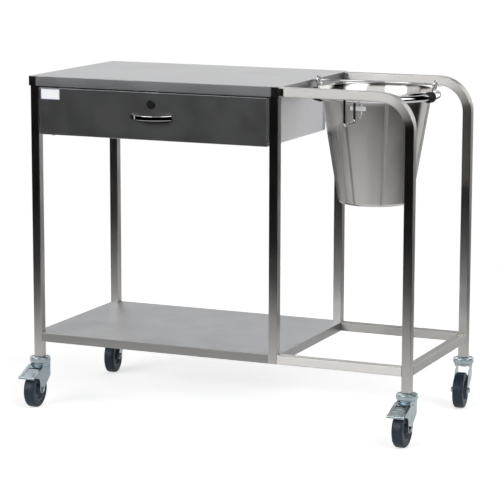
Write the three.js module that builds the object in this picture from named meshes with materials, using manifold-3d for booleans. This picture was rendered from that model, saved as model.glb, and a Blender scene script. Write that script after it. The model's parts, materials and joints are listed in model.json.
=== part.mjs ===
// Stainless-steel ward trolley: a table with a lockable drawer and a lower shelf, and beside it,
// between two tubes bent down into legs, a bucket hanging in a ring. Millimetres, +Z up.
// While it is being built, X = 0 is the left legs' outer face, Y = 0 the front legs' front face and
// Z = 0 the floor. At the end the group is shifted so that the origin is under the box's centre.
import * as THREE from 'three';
import { mergeVertices } from 'three/addons/utils/BufferGeometryUtils.js';
import Module from 'manifold-3d';

const wasm = await Module();
wasm.setup();

// ---------------------------------------------------------------- driving dimensions
const LENGTH = 1120; // over the legs
const DEPTH = 500;
const HEIGHT = 930; // table surface
const GAP = 0.3; // between pieces that touch
const TUBE = 25; // square tube
const TUBE_WALL = 1.5;
const TUBE_CORNER = 2.5;
const SHEET = 1.5;
const FRAME_TOP = HEIGHT - SHEET - GAP; // top of the two upper tubes
const BEND_RADIUS = 85; // of the upper tubes' centreline
const BEND_STEPS = 8;
const LEG_FOOT = 140; // where a leg ends and its castor begins
const POST_X = 716; // left face of the middle posts
const TOP_OVERHANG = 3;
const TOP_LIP = 27;
const SHELF_TOP = 208;
const SHELF_LIP = TUBE;

const DRAWER = { left: 30, right: 711, bottom: 769, top: 899, front: -1, thick: 14, sheet: 1.5 };
const HOUSING = { left: 27, right: 714, bottom: 770.5, top: 902.4, front: 13.6, panelEnd: 390, end: 412 };
const RUNNER = { thick: 5.2, low: 815, high: 850, end: 385 };
const SLIDE = { thick: 5.4, low: 821, high: 844, start: 16, end: 380 };
const TRAY = { front: 13.4, back: 378, bottom: 776, top: 888 };
const HANDLE = { middle: 371, z: 832, width: 118, reach: 29, tall: 14, thick: 5 };
const LOCK = { x: 370, z: 867, bezel: 12, barrel: 10, plug: 7, camReach: 33, camWidth: 10 };
const STRIKE = { from: LOCK.x - 20, to: LOCK.x + 20, front: 5, back: TUBE, sheet: 1.5 };
const DRAWER_LABEL = { left: 34, bottom: 867, width: 58, height: 29, thick: 0.6 };

const BUCKET_X = 924;
const BUCKET_Y = DEPTH / 2;
const RING = { z: 896, radius: 165, rod: 9.3 };
const SLEEVE = { rod: 14.6, left: [187, 228], right: [-15, -6] }; // angles round the ring, degrees
const BRACKET = { rod: 3.9, bottom: 835, corner: 9 };
const BUCKET = { bottom: 601, bottomRadius: 101.5, neck: 899, neckRadius: 150, wall: 1.5 };
const BEAD = { radius: 158, z: 907, rod: 3.5 };
const EAR = { offset: 167.5, rod: 2.5, z: 926, halfWidth: 9.5, halfHeight: 12 };
const BAIL = { rod: 3, side: 174, reach: 164.5, restDrop: 5 }; // restDrop is an angle, degrees
const BUCKET_LABEL = { width: 44, height: 12, thick: 0.8, z: 871 };

const WHEEL = { radius: 50, width: 30, trail: 36, tyre: 15, facets: 20 };
const HEAD_RADIUS = 29;
const ROUND = 16; // facets round a castor's turned pieces
const FORK = { inner: 18, plate: 3, crown: 116, boss: 10 };
const AXLE = { rod: 3.9, end: 27, hex: 7.5, hexTall: 5.6 };
const PEDAL = { pivotY: -20, pivotZ: 112, halfWidth: 24.5, tip: -95, flange: 2 };
const CASTORS = [
  { name: 'front_left', x: TUBE / 2, y: TUBE / 2, turn: 4, brake: true },
  { name: 'front_right', x: LENGTH - TUBE / 2, y: TUBE / 2, turn: 1, brake: true },
  { name: 'rear_left', x: TUBE / 2, y: DEPTH - TUBE / 2, turn: 10, brake: false },
  { name: 'rear_right', x: LENGTH - TUBE / 2, y: DEPTH - TUBE / 2, turn: 7, brake: false },
];

// ---------------------------------------------------------------- materials
const material = (color, roughness, metalness) =>
  new THREE.MeshStandardMaterial({ color, roughness, metalness });
const STEEL = material(0xa9a9a6, 0.35, 1);
const SHEET_STEEL = material(0xc4c4c6, 0.45, 1);
const DARK_STEEL = material(0x4b4d4f, 0.4, 1);
const BUCKET_STEEL = material(0x9a9892, 0.3, 1);
const CHROME = material(0xe6e6ea, 0.08, 1);
const ZINC = material(0xaab2b6, 0.3, 1);
const RUBBER = material(0x15171b, 0.8, 0);
const TYRE = material(0x39424c, 0.7, 0);
const HUB = material(0x5d6874, 0.6, 0);
const LOCK_BLACK = material(0x101114, 0.4, 0);
const LABEL = material(0xf2f3f6, 0.5, 0);

// ---------------------------------------------------------------- shape helpers
// Local axes of a flat outline: drawn in Y and Z and extruded along +X, or in X and Z along -Y.
const ALONG_X = new THREE.Matrix4().makeBasis(
  new THREE.Vector3(0, 1, 0),
  new THREE.Vector3(0, 0, 1),
  new THREE.Vector3(1, 0, 0),
);
const ALONG_MINUS_Y = new THREE.Matrix4().makeBasis(
  new THREE.Vector3(1, 0, 0),
  new THREE.Vector3(0, 0, 1),
  new THREE.Vector3(0, -1, 0),
);

function mesh(name, geometry, look) {
  const made = new THREE.Mesh(geometry, look);
  made.name = name;
  return made;
}

function box(x0, x1, y0, y1, z0, z1) {
  const geometry = new THREE.BoxGeometry(x1 - x0, y1 - y0, z1 - z0);
  return geometry.translate((x0 + x1) / 2, (y0 + y1) / 2, (z0 + z1) / 2);
}

function extrude(shape, depth, segments = 6) {
  return new THREE.ExtrudeGeometry(shape, { depth, bevelEnabled: false, curveSegments: segments });
}

function outline(points) {
  const corners = points.map(([x, y]) => new THREE.Vector2(x, y));
  if (THREE.ShapeUtils.isClockWise(corners)) corners.reverse();
  return new THREE.Shape(corners);
}

// Closed profile of [radius, height] points turned about +Z.
function lathe(points, segments) {
  const profile = points.map(([r, z]) => new THREE.Vector2(r, z));
  if (THREE.ShapeUtils.area(profile) < 0) profile.reverse();
  const startsOnAxis = profile[0].x === 0 && profile[profile.length - 1].x === 0;
  if (!startsOnAxis) profile.push(profile[0].clone());
  return new THREE.LatheGeometry(profile, segments).rotateX(Math.PI / 2);
}

function rod(radius, z0, z1, segments = 16) {
  return lathe([[0, z0], [radius, z0], [radius, z1], [0, z1]], segments);
}

function circlePoints(cx, cy, radius, from, to, steps) {
  const points = [];
  for (let i = 0; i <= steps; i += 1) {
    const a = THREE.MathUtils.degToRad(from + ((to - from) * i) / steps);
    points.push([cx + radius * Math.cos(a), cy + radius * Math.sin(a)]);
  }
  return points;
}

function disc(radius, hole = 0) {
  const shape = new THREE.Shape();
  shape.absarc(0, 0, radius, 0, 2 * Math.PI, false);
  if (hole > 0) {
    const opening = new THREE.Path();
    opening.absarc(0, 0, hole, 0, 2 * Math.PI, true);
    shape.holes.push(opening);
  }
  return shape;
}

function roundedRect(width, height, radius, target = new THREE.Shape()) {
  const x = width / 2;
  const y = height / 2;
  target.moveTo(-x + radius, -y);
  target.lineTo(x - radius, -y);
  target.absarc(x - radius, -y + radius, radius, -Math.PI / 2, 0, false);
  target.lineTo(x, y - radius);
  target.absarc(x - radius, y - radius, radius, 0, Math.PI / 2, false);
  target.lineTo(-x + radius, y);
  target.absarc(-x + radius, y - radius, radius, Math.PI / 2, Math.PI, false);
  target.lineTo(-x, -y + radius);
  target.absarc(-x + radius, -y + radius, radius, Math.PI, 1.5 * Math.PI, false);
  return target;
}

// A path through stations that an extrusion follows exactly, one step per station.
class StationPath extends THREE.Curve {
  constructor(points) {
    super();
    this.points = points.map(([x, y, z]) => new THREE.Vector3(x, y, z));
  }

  getPoint(t, target = new THREE.Vector3()) {
    const s = t * (this.points.length - 1);
    const i = Math.min(Math.floor(s), this.points.length - 2);
    return target.copy(this.points[i]).lerp(this.points[i + 1], s - i);
  }

  getPointAt(u, target) {
    return this.getPoint(u, target);
  }

  getTangentAt(u, target) {
    return this.getTangent(u, target);
  }
}

function sweep(shape, points, segments = 1) {
  const extrudePath = new StationPath(points);
  const steps = points.length - 1;
  const options = { steps, extrudePath, bevelEnabled: false, curveSegments: segments };
  return new THREE.ExtrudeGeometry(shape, options);
}

// ---------------------------------------------------------------- joining and cutting
function toSolid(geometry) {
  const plain = geometry.clone();
  plain.deleteAttribute('normal');
  plain.deleteAttribute('uv');
  const merged = mergeVertices(plain, 1e-4);
  const index = merged.index.array;
  const triangles = [];
  for (let i = 0; i < index.length; i += 3) {
    const [a, b, c] = [index[i], index[i + 1], index[i + 2]];
    if (a !== b && b !== c && c !== a) triangles.push(a, b, c);
  }
  return new wasm.Manifold(new wasm.Mesh({
    numProp: 3,
    vertProperties: new Float32Array(merged.attributes.position.array),
    triVerts: new Uint32Array(triangles),
  }));
}

function toGeometry(solid) {
  const made = solid.getMesh();
  const geometry = new THREE.BufferGeometry();
  geometry.setAttribute('position', new THREE.BufferAttribute(made.vertProperties, 3));
  geometry.setIndex(new THREE.BufferAttribute(made.triVerts, 1));
  return geometry;
}

function join(first, ...others) {
  return toGeometry(others.reduce((solid, other) => solid.add(toSolid(other)), toSolid(first)));
}

function cut(body, ...tools) {
  return toGeometry(tools.reduce((solid, tool) => solid.subtract(toSolid(tool)), toSolid(body)));
}

// ---------------------------------------------------------------- frame
function tubeSection() {
  const section = roundedRect(TUBE, TUBE, TUBE_CORNER);
  const inside = TUBE - 2 * TUBE_WALL;
  section.holes.push(roundedRect(inside, inside, TUBE_CORNER - TUBE_WALL, new THREE.Path()));
  return section;
}

// Square tube from z0 up to z1, its lowest corner at x, y.
function uprightTube(x, y, z0, z1) {
  return extrude(tubeSection(), z1 - z0, 1).translate(x + TUBE / 2, y + TUBE / 2, z0);
}

function uprights() {
  const top = FRAME_TOP - TUBE - GAP;
  const back = DEPTH - TUBE;
  const railBottom = SHELF_TOP - TUBE;
  return [
    mesh('leg_front_left', uprightTube(0, 0, LEG_FOOT, top), STEEL),
    mesh('leg_rear_left', uprightTube(0, back, LEG_FOOT, top), STEEL),
    mesh('post_mid_front', uprightTube(POST_X, 0, railBottom, top), STEEL),
    mesh('post_mid_rear', uprightTube(POST_X, back, railBottom, top), STEEL),
  ];
}

// Upper tube that runs under the table's edge, on past it, and bends down into the right leg.
function bentTube(name, y) {
  const z = FRAME_TOP - TUBE / 2;
  const x = LENGTH - TUBE / 2;
  const stations = [[0, y, z]];
  for (let i = 0; i <= BEND_STEPS; i += 1) {
    const a = ((Math.PI / 2) * i) / BEND_STEPS;
    const dx = BEND_RADIUS * (1 - Math.sin(a));
    stations.push([x - dx, y, z - BEND_RADIUS * (1 - Math.cos(a))]);
  }
  stations.push([x, y, LEG_FOOT]);
  return mesh(name, sweep(tubeSection(), stations), STEEL);
}

function rails() {
  const z = SHELF_TOP - TUBE / 2;
  const start = POST_X + TUBE + GAP;
  const end = LENGTH - TUBE - GAP;
  const alongX = (y) => sweep(tubeSection(), [[start, y, z], [end, y, z]]);
  const sideX = LENGTH - TUBE / 2;
  const side = sweep(tubeSection(), [[sideX, TUBE + GAP, z], [sideX, DEPTH - TUBE - GAP, z]]);
  return [
    mesh('rail_front', alongX(TUBE / 2), STEEL),
    mesh('rail_rear', alongX(DEPTH - TUBE / 2), STEEL),
    mesh('rail_right', side, STEEL),
  ];
}

// Folded sheet with lips turned down all round. The right lip stops short of the two upper tubes.
function tableTop() {
  const x0 = -TOP_OVERHANG;
  const x1 = POST_X + TUBE + TOP_OVERHANG;
  const y0 = -TOP_OVERHANG;
  const y1 = DEPTH + TOP_OVERHANG;
  const low = HEIGHT - TOP_LIP;
  const notch = TUBE + 2 * GAP;
  const front = box(x1 - SHEET - 1, x1 + 1, -GAP, notch, low - 1, HEIGHT - SHEET);
  const rear = box(x1 - SHEET - 1, x1 + 1, DEPTH - notch, DEPTH + GAP, low - 1, HEIGHT - SHEET);
  const inside = box(x0 + SHEET, x1 - SHEET, y0 + SHEET, y1 - SHEET, low - 1, HEIGHT - SHEET);
  return mesh('table_top', cut(box(x0, x1, y0, y1, low, HEIGHT), inside, front, rear), SHEET_STEEL);
}

// Lower shelf: lips flush with the legs' outer faces, corners notched round the legs.
function lowerShelf() {
  const x1 = POST_X + TUBE;
  const low = SHELF_TOP - SHELF_LIP;
  const notch = TUBE + GAP;
  const corners = [];
  for (const x of [-1, x1 - notch]) {
    for (const y of [-1, DEPTH - notch]) {
      corners.push(box(x, x + notch + 1, y, y + notch + 1, low - 1, SHELF_TOP + 1));
    }
  }
  const inside = box(SHEET, x1 - SHEET, SHEET, DEPTH - SHEET, low - 1, SHELF_TOP - SHEET);
  return mesh('lower_shelf', cut(box(0, x1, 0, DEPTH, low, SHELF_TOP), inside, ...corners), SHEET_STEEL);
}

// ---------------------------------------------------------------- drawer housing and runners
function drawerHousing() {
  const { left, right, bottom, top, front, end } = HOUSING;
  const skin = SHEET;
  const shell = box(left + skin, right - skin, front, end, bottom, top);
  const hollow = box(left + 2 * skin, right - 2 * skin, front - 1, end - skin, bottom + skin, top - skin);
  const floor = box(left + 18, right - 18, front + 20, end - 18, bottom - 1, bottom + 2);
  const tab = box(58, 68, front, front + skin, 766, bottom + skin);
  const seat = box(STRIKE.from - GAP, STRIKE.to + GAP, front - 1, STRIKE.back + GAP, top - 2 * skin, top + 1);
  const body = cut(shell, hollow, floor, seat);
  return mesh('drawer_housing', join(body, tab), DARK_STEEL);
}

// Angle under the upper tube whose front leg the lock's cam turns up behind.
function lockStrike() {
  const { from, to, front, back, sheet } = STRIKE;
  const high = FRAME_TOP - TUBE - GAP;
  const plate = box(from, to, front, back, high - sheet, high);
  const hook = box(from, to, front, front + sheet, DRAWER.top + 0.4, high);
  return mesh('lock_strike', join(plate, hook), ZINC);
}

// Side cover of the housing, with a small screw hole.
function sidePanel(name, x) {
  const { bottom, front, panelEnd } = HOUSING;
  const hole = rod(2.5, -5, 5, 12).applyMatrix4(ALONG_X).translate(x, 278, 837);
  const panel = box(x, x + SHEET - GAP, front, panelEnd, bottom, FRAME_TOP - TUBE - 2 * GAP);
  return mesh(name, cut(panel, hole), SHEET_STEEL);
}

// Both sides' runners: a channel fixed to the housing and a slide fixed to the drawer.
function runnerChannel(x0, x1, open) {
  const bar = box(x0, x1, HOUSING.front + 2, RUNNER.end, RUNNER.low, RUNNER.high);
  const from = open > 0 ? x0 + 1.5 : x0 - 1;
  const to = open > 0 ? x1 + 1 : x1 - 1.5;
  const groove = box(from, to, HOUSING.front, RUNNER.end + 1, RUNNER.low + 3, RUNNER.high - 3);
  return cut(bar, groove);
}

function runners() {
  const inner = 2 * SHEET + GAP;
  const l0 = HOUSING.left + inner;
  const r1 = HOUSING.right - inner;
  return [
    mesh('runner_left', runnerChannel(l0, l0 + RUNNER.thick, 1), ZINC),
    mesh('runner_right', runnerChannel(r1 - RUNNER.thick, r1, -1), ZINC),
  ];
}

const TRAY_LEFT = HOUSING.left + 2 * SHEET + GAP + RUNNER.thick + 0.5 + SLIDE.thick + GAP;
const TRAY_RIGHT = HOUSING.left + HOUSING.right - TRAY_LEFT;

function slides() {
  const l1 = TRAY_LEFT - GAP;
  const r0 = TRAY_RIGHT + GAP;
  const bar = (x0, x1) => box(x0, x1, SLIDE.start, SLIDE.end, SLIDE.low, SLIDE.high);
  return [
    mesh('slide_left', bar(l1 - SLIDE.thick, l1), ZINC),
    mesh('slide_right', bar(r0, r0 + SLIDE.thick), ZINC),
  ];
}

// ---------------------------------------------------------------- drawer
// Folded pan with its open side to the rear, a hole for the lock and a slot for the lock's cam.
function drawerFront() {
  const { left, right, bottom, top, front, thick, sheet } = DRAWER;
  const pan = box(left, right, front, front + thick, bottom, top);
  const inner = { left: left + sheet, right: right - sheet, bottom: bottom + sheet, top: top - sheet };
  const hollow = box(inner.left, inner.right, front + sheet, front + thick + 1, inner.bottom, inner.top);
  const lockHole = extrude(disc(LOCK.barrel + GAP), 8, 12)
    .applyMatrix4(ALONG_MINUS_Y)
    .translate(LOCK.x, 4, LOCK.z);
  const camSlot = box(LOCK.x - 7, LOCK.x + 16, 8.5, 12.2, top - 3, top + 1);
  return mesh('drawer_front', cut(pan, hollow, lockHole, camSlot), DARK_STEEL);
}

function drawerTray() {
  const { front, back, bottom, top } = TRAY;
  const shell = box(TRAY_LEFT, TRAY_RIGHT, front, back, bottom, top);
  const inX0 = TRAY_LEFT + SHEET;
  const inX1 = TRAY_RIGHT - SHEET;
  const inside = box(inX0, inX1, front + SHEET, back - SHEET, bottom + SHEET, top + 1);
  return mesh('drawer_tray', cut(shell, inside), SHEET_STEEL);
}

// Crescent bow of flat bar: its ends stand on the drawer front, its middle stands out.
function drawerHandle() {
  const { middle, z, width, reach, tall, thick } = HANDLE;
  const foot = DRAWER.front - GAP;
  const half = width / 2;
  const radius = (half * half + reach * reach) / (2 * reach);
  const halfAngle = Math.asin(half / radius);
  const stations = [];
  const steps = 12;
  for (let i = 0; i <= steps; i += 1) {
    const a = -halfAngle + (2 * halfAngle * i) / steps;
    const y = foot - thick / 2 + (radius - reach) - radius * Math.cos(a);
    stations.push([middle + radius * Math.sin(a), y, z]);
  }
  return mesh('drawer_handle', sweep(roundedRect(tall, thick, 2.2), stations), CHROME);
}

function drawerLabel() {
  const { left, bottom, width, height, thick } = DRAWER_LABEL;
  const back = DRAWER.front - GAP;
  return mesh('drawer_label', box(left, left + width, back - thick, back, bottom, bottom + height), LABEL);
}

// Turned shapes of the lock point out of the drawer: their axis is -Y, from the front face.
function lockTurned(points, segments = 24) {
  return lathe(points, segments).rotateX(Math.PI / 2).translate(LOCK.x, DRAWER.front, LOCK.z);
}

function lockPieces() {
  const bore = LOCK.plug + GAP;
  const lip = GAP + 3;
  const barrelProfile = [[bore, -10], [LOCK.barrel, -10], [LOCK.barrel, GAP], [LOCK.bezel, GAP],
    [LOCK.bezel, lip - 1], [LOCK.bezel - 1, lip], [bore, lip]];
  const plugProfile = [[0, -10.3], [LOCK.plug, -10.3], [LOCK.plug, 2.4], [0, 2.4]];
  const keyway = box(LOCK.x - 0.9, LOCK.x + 0.9, DRAWER.front - 4, DRAWER.front + 2, LOCK.z - 4, LOCK.z + 4);
  const half = LOCK.camWidth / 2;
  const arm = new THREE.Shape();
  arm.absarc(0, 0, half + 1.5, Math.PI / 2, 1.5 * Math.PI, false);
  arm.lineTo(LOCK.camReach - 2, -half);
  arm.lineTo(LOCK.camReach, 2 - half);
  arm.lineTo(LOCK.camReach, half - 2);
  arm.lineTo(LOCK.camReach - 2, half);
  const camBack = DRAWER.front + 12.8;
  const cam = extrude(arm, 2).applyMatrix4(ALONG_MINUS_Y).translate(LOCK.x, camBack, LOCK.z);
  return [
    mesh('lock_barrel', lockTurned(barrelProfile), LOCK_BLACK),
    mesh('lock_plug', cut(lockTurned(plugProfile), keyway), LOCK_BLACK),
    mesh('lock_cam', cam, ZINC),
  ];
}

// ---------------------------------------------------------------- bucket, ring and bail
function ringStations(from, to, steps) {
  return circlePoints(BUCKET_X, BUCKET_Y, RING.radius, from, to, steps).map(([x, y]) => [x, y, RING.z]);
}

// Rubber sleeve on the ring, with room above for the bucket's bead to lift straight out.
function ringSleeve(name, [from, to]) {
  const tube = sweep(disc(SLEEVE.rod, RING.rod + 1.2), ringStations(from, to, 5), 6);
  const edge = BEAD.radius + BEAD.rod + 0.5;
  const neck = BUCKET.neckRadius + 0.5;
  const rim = circlePoints(BEAD.radius, BEAD.z, BEAD.rod + 0.5, -110, 0, 4);
  const top = RING.z + SLEEVE.rod + 1;
  const seat = lathe([[0, 860], [neck - 5, 860], [neck, BUCKET.neck], ...rim, [edge, top], [0, top]], 32);
  return mesh(name, cut(tube, seat.translate(BUCKET_X, BUCKET_Y, 0)), RUBBER);
}

function ringHolder() {
  const profile = circlePoints(RING.radius, 0, RING.rod, 0, 320, 8);
  const ring = lathe(profile, 32).translate(BUCKET_X, BUCKET_Y, RING.z);
  return [
    mesh('bucket_ring', ring, CHROME),
    ringSleeve('ring_sleeve_left', SLEEVE.left),
    ringSleeve('ring_sleeve_right', SLEEVE.right),
  ];
}

// U of bent rod from under the upper tube, down and in, and up to the ring's underside.
function ringBracket(name, mirror) {
  const { rod: radius, bottom, corner } = BRACKET;
  const outer = TUBE / 2;
  const inner = BUCKET_Y - RING.radius;
  const place = (y) => (mirror ? DEPTH - y : y);
  const tubeUnderside = FRAME_TOP - TUBE - GAP;
  const ringUnderside = RING.z - RING.rod - GAP;
  const first = circlePoints(outer + corner, bottom + corner, corner, 180, 270, 4);
  const second = circlePoints(inner - corner, bottom + corner, corner, 270, 360, 4);
  const route = [[outer, tubeUnderside], ...first, ...second, [inner, ringUnderside]];
  const stations = route.map(([y, z]) => [BUCKET_X, place(y), z]);
  return mesh(name, sweep(disc(radius), stations, 4), CHROME);
}

function bucketShell() {
  const { bottom, bottomRadius, neck, neckRadius, wall } = BUCKET;
  const heel = 9;
  const bead = circlePoints(BEAD.radius, BEAD.z, BEAD.rod, -110, 150, 7);
  const outer = [[0, bottom], [bottomRadius - heel, bottom], [bottomRadius - 2, bottom + 2.5],
    [bottomRadius, bottom + heel], [neckRadius, neck]];
  const inner = [[neckRadius - wall, neck + 1], [bottomRadius - wall, bottom + heel],
    [bottomRadius - heel, bottom + wall], [0, bottom + wall]];
  return lathe([...outer, ...bead, ...inner], 32).translate(BUCKET_X, BUCKET_Y, 0);
}

// Pressed ear on the bead with a standing wire loop. side is -1 on the left and 1 on the right.
function bucketEar(name, side) {
  const loopSteps = 16;
  const stations = [];
  for (let i = 0; i < loopSteps; i += 1) {
    const a = (2 * Math.PI * i) / loopSteps;
    const y = BUCKET_Y + EAR.halfWidth * Math.cos(a);
    stations.push([BUCKET_X + side * EAR.offset, y, EAR.z + EAR.halfHeight * Math.sin(a)]);
  }
  const half = sweep(disc(EAR.rod), stations.slice(0, loopSteps / 2 + 1), 4);
  const otherHalf = sweep(disc(EAR.rod), [...stations.slice(loopSteps / 2), stations[0]], 4);
  const inner = BUCKET_X + side * (BEAD.radius + BEAD.rod + GAP);
  const outer = BUCKET_X + side * (EAR.offset - EAR.rod + 0.8);
  const plateLow = RING.z + RING.rod + 0.4;
  const x0 = Math.min(inner, outer);
  const plate = box(x0, x0 + Math.abs(outer - inner), BUCKET_Y - 13, BUCKET_Y + 13, plateLow, 921);
  return mesh(name, join(plate, half, otherHalf), CHROME);
}

// Wire bail, lying back over the ring. It is swept flat and then turned to its resting slope.
function bucketBail() {
  const steps = 26;
  const stub = EAR.offset - EAR.rod - 4;
  const bend = 1.8;
  const stations = [[-stub, 0, 0], [bend - BAIL.side, 0, 0], [-BAIL.side, bend, 0]];
  for (let i = 1; i < steps; i += 1) {
    const a = Math.PI - (Math.PI * i) / steps;
    stations.push([BAIL.side * Math.cos(a), BAIL.reach * Math.sin(a), 0]);
  }
  stations.push([BAIL.side, bend, 0], [BAIL.side - bend, 0, 0], [stub, 0, 0]);
  const wire = sweep(disc(BAIL.rod), stations, 4);
  const stopper = (x) => rod(4.2, -1.5, 1.5, 10).applyMatrix4(ALONG_X).translate(x, 0, 0);
  const bail = join(wire, stopper(-stub), stopper(stub));
  bail.rotateX(THREE.MathUtils.degToRad(-BAIL.restDrop));
  return mesh('bucket_bail', bail.translate(BUCKET_X, BUCKET_Y, EAR.z), CHROME);
}

// Flat blank plate that touches the front of the bucket's cone.
function bucketLabel() {
  const { width, height, thick, z } = BUCKET_LABEL;
  const slope = (BUCKET.neckRadius - BUCKET.bottomRadius) / (BUCKET.neck - BUCKET.bottom - 9);
  const radius = BUCKET.neckRadius - (BUCKET.neck - z) * slope + GAP;
  const plate = box(-width / 2, width / 2, -thick, 0, -height / 2, height / 2);
  plate.rotateX(Math.atan(slope));
  return mesh('bucket_label', plate.translate(BUCKET_X + 3, BUCKET_Y - radius, z), LABEL);
}

// ---------------------------------------------------------------- castors
// Each castor is drawn about its swivel axis, trailing towards -Y, and placed by its group.
function castorStem(name) {
  const profile = [[0, 195], [9, 195], [10.4, 192], [10.4, LEG_FOOT + 1], [11, LEG_FOOT - GAP],
    [16, LEG_FOOT - GAP], [16, LEG_FOOT - 2], [5.7, LEG_FOOT - 2], [5.7, FORK.crown - 0.6],
    [9, FORK.crown - 0.6], [9, FORK.crown - 5], [0, FORK.crown - 5]];
  return mesh(name, lathe(profile, 16), ZINC);
}

// Outline of one fork plate in Y and Z, with the axle's hole and the pedal pin's hole.
function forkPlate(brake) {
  const axleY = -WHEEL.trail;
  const z = WHEEL.radius;
  const heel = circlePoints(axleY, z, FORK.boss, 295, 190, 6);
  const front = brake ? [[-45, 72], [-56, 84], [-60, 88], [-25, 106], [-26, 119]] : [[-16, 108], [-14, 119]];
  const shape = outline([[22, 119], [22, 78], ...heel, ...front]);
  const hole = (y, zc, radius) => {
    const path = new THREE.Path();
    path.absarc(y, zc, radius, 0, 2 * Math.PI, true);
    shape.holes.push(path);
  };
  hole(axleY, z, AXLE.rod + GAP);
  if (brake) hole(PEDAL.pivotY, PEDAL.pivotZ, 2.3);
  return extrude(shape, FORK.plate).applyMatrix4(ALONG_X);
}

function castorFork(name, brake) {
  const low = FORK.crown;
  const high = LEG_FOOT - 2 - GAP;
  const r = HEAD_RADIUS;
  const head = lathe([[6.2, low], [26, low], [26, 121], [r - 1.5, 122], [r, 124], [r, 134], [r - 2, 136.5],
    [20, high - 0.2], [6.2, high - 0.2]], ROUND);
  const outer = FORK.inner + FORK.plate;
  const crown = cut(box(-outer, outer, -14, 22, low, 119), rod(6.2, low - 5, high + 5, ROUND));
  const left = forkPlate(brake).translate(-outer, 0, 0);
  const right = forkPlate(brake).translate(FORK.inner, 0, 0);
  return mesh(name, join(head, crown, left, right), ZINC);
}

function castorAxle(name) {
  const { rod: radius, end, hex, hexTall } = AXLE;
  const head = FORK.inner + FORK.plate + GAP;
  const shank = rod(radius, -end, end, 12);
  const nut = (z) => lathe([[0, z], [hex, z], [hex, z + hexTall], [0, z + hexTall]], 6);
  const bolt = join(shank, nut(head), nut(-head - hexTall));
  return mesh(name, bolt.applyMatrix4(ALONG_X).translate(0, -WHEEL.trail, WHEEL.radius), ZINC);
}

// Wheel shapes are turned about Z and then laid along X at the axle.
function onAxle(geometry) {
  return geometry.applyMatrix4(ALONG_X).translate(0, -WHEEL.trail, WHEEL.radius);
}

function castorTyre(name) {
  const { radius, width, tyre } = WHEEL;
  const half = width / 2;
  const inner = radius - tyre;
  const profile = [[inner, -half + 2], [inner + 2, -half], [radius - 6, -half], [radius, -half + 7],
    [radius, half - 7], [radius - 6, half], [inner + 2, half], [inner, half - 2]];
  return mesh(name, onAxle(lathe(profile, WHEEL.facets)), TYRE);
}

function castorHub(name) {
  const half = WHEEL.width / 2;
  const rim = WHEEL.radius - WHEEL.tyre - GAP;
  const profile = [[5, -half - 2], [11, -half - 2], [12, -6], [rim - 6, -6], [rim - 4, -half + 3],
    [rim, -half + 3], [rim, half - 3], [rim - 4, half - 3], [rim - 6, 6],
    [12, 6], [11, half + 2], [5, half + 2]];
  return mesh(name, onAxle(lathe(profile, WHEEL.facets)), HUB);
}

// Pressed brake pedal: a sloping tread with side flanges outside the fork, a lip and a brake shoe.
function brakePedal(name) {
  const { halfWidth, tip, flange } = PEDAL;
  const tread = outline([[-27, 117.4], [-84, 97], [tip, 96], [tip, 89.5], [tip + 2.5, 89.5],
    [tip + 2.5, 93.5], [-84.5, 94.3], [-28, 114.6]]);
  const side = outline([[-27, 117.4], [-84, 97], [-84, 91], [-60, 86], [-38, 98], [-17, 106], [-14, 110],
    [-16, 115.5], [-25, 116.6]]);
  const pinHole = new THREE.Path();
  pinHole.absarc(PEDAL.pivotY, PEDAL.pivotZ, 2.4, 0, 2 * Math.PI, true);
  side.holes.push(pinHole);
  const inside = halfWidth - flange;
  const cheek = () => extrude(side, flange).applyMatrix4(ALONG_X);
  const plate = extrude(tread, 2 * halfWidth).applyMatrix4(ALONG_X).translate(-halfWidth, 0, 0);
  const shoe = box(-9, 9, -58, -46, 103.4, 107);
  const window = box(-13, 13, -66, -42, 80, 130);
  const embossed = outline([[-67, 101.6], [-41, 110.9], [-41, 108.3], [-67, 99]]);
  const dimple = extrude(embossed, 28).applyMatrix4(ALONG_X).translate(-14, 0, 0);
  const pressed = cut(plate, window);
  const cheeks = [cheek().translate(-halfWidth, 0, 0), cheek().translate(inside, 0, 0)];
  const pedal = join(pressed, dimple, shoe, ...cheeks);
  return mesh(name, pedal, ZINC);
}

function brakePin(name) {
  const pin = rod(2, -PEDAL.halfWidth - 1.5, PEDAL.halfWidth + 1.5, 10);
  return mesh(name, pin.applyMatrix4(ALONG_X).translate(0, PEDAL.pivotY, PEDAL.pivotZ), ZINC);
}

function castor({ name, x, y, turn, brake }) {
  const group = new THREE.Group();
  group.add(
    castorStem(`castor_stem_${name}`),
    castorFork(`castor_fork_${name}`, brake),
    castorAxle(`castor_axle_${name}`),
    castorHub(`castor_hub_${name}`),
    castorTyre(`castor_tyre_${name}`),
  );
  if (brake) group.add(brakePedal(`brake_pedal_${name}`), brakePin(`brake_pin_${name}`));
  group.position.set(x, y, 0);
  group.rotation.z = THREE.MathUtils.degToRad(turn);
  return group;
}

// ---------------------------------------------------------------- assembly
const trolley = new THREE.Group();
trolley.add(
  ...uprights(),
  bentTube('bent_leg_front', TUBE / 2),
  bentTube('bent_leg_rear', DEPTH - TUBE / 2),
  ...rails(),
  tableTop(),
  lowerShelf(),
  drawerHousing(),
  lockStrike(),
  sidePanel('side_panel_left', HOUSING.left),
  sidePanel('side_panel_right', HOUSING.right - SHEET + GAP),
  ...runners(),
  ...slides(),
  drawerFront(),
  drawerTray(),
  drawerHandle(),
  drawerLabel(),
  ...lockPieces(),
  ...ringHolder(),
  ringBracket('ring_bracket_front', false),
  ringBracket('ring_bracket_rear', true),
  mesh('bucket', bucketShell(), BUCKET_STEEL),
  bucketEar('bucket_ear_left', -1),
  bucketEar('bucket_ear_right', 1),
  bucketBail(),
  bucketLabel(),
  ...CASTORS.map(castor),
);

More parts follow.
